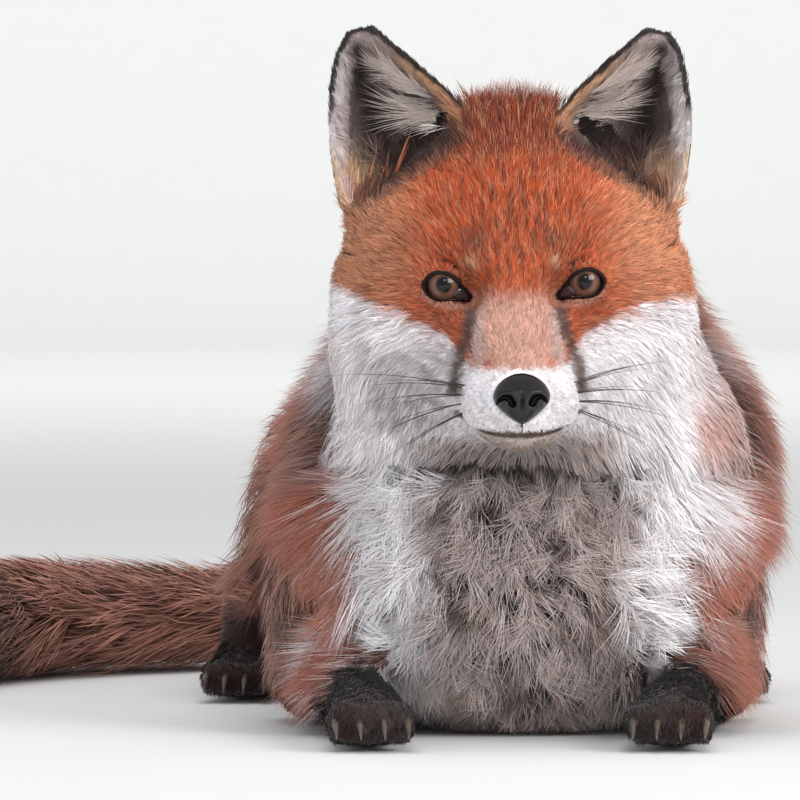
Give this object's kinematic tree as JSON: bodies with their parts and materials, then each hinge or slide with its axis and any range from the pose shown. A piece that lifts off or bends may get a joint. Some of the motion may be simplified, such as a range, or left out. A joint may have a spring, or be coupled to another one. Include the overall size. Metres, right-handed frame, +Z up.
{
  "type": "red fox",
  "caption": "Life-size still model of a red fox lying on its chest, head up and facing forward, brush swept round to one side.",
  "frame": {"origin": "on the floor, in the middle of the flat under the breast, below the line between the shoulders", "axes": "+Z up; -Y is where the fox faces, so the body runs along +Y; +X is the fox's left"},
  "size_m": [0.435, 0.6557, 0.3068],
  "materials": {
    "russet_coat": "dense fur, russet",
    "white_coat": "dense fur, white with grey roots",
    "black_coat": "short fur, brown-black",
    "ear_coat": "short fur, grey inside and black behind",
    "nose_leather": "moist, finely pebbled",
    "amber_eye": "glossy, amber with a dark pupil"
  },
  "bodies": {
    "root": {"ear_left": "ear_coat", "ear_right": "ear_coat", "eye_left": "amber_eye", "eye_right": "amber_eye", "forearm_left": "black_coat", "forearm_right": "black_coat", "forepaw_left": "black_coat", "forepaw_right": "black_coat", "head": "russet_coat", "hindpaw_left": "black_coat", "hindpaw_right": "black_coat", "instep_left": "black_coat", "instep_right": "black_coat", "lower_jaw": "white_coat", "neck": "white_coat", "nose": "nose_leather", "shank_left": "russet_coat", "shank_right": "russet_coat", "tail_middle": "russet_coat", "tail_root": "russet_coat", "tail_tip": "white_coat", "thigh_left": "russet_coat", "thigh_right": "russet_coat", "trunk": "russet_coat", "upper_arm_left": "russet_coat", "upper_arm_right": "russet_coat"}
  },
  "joints": []
}
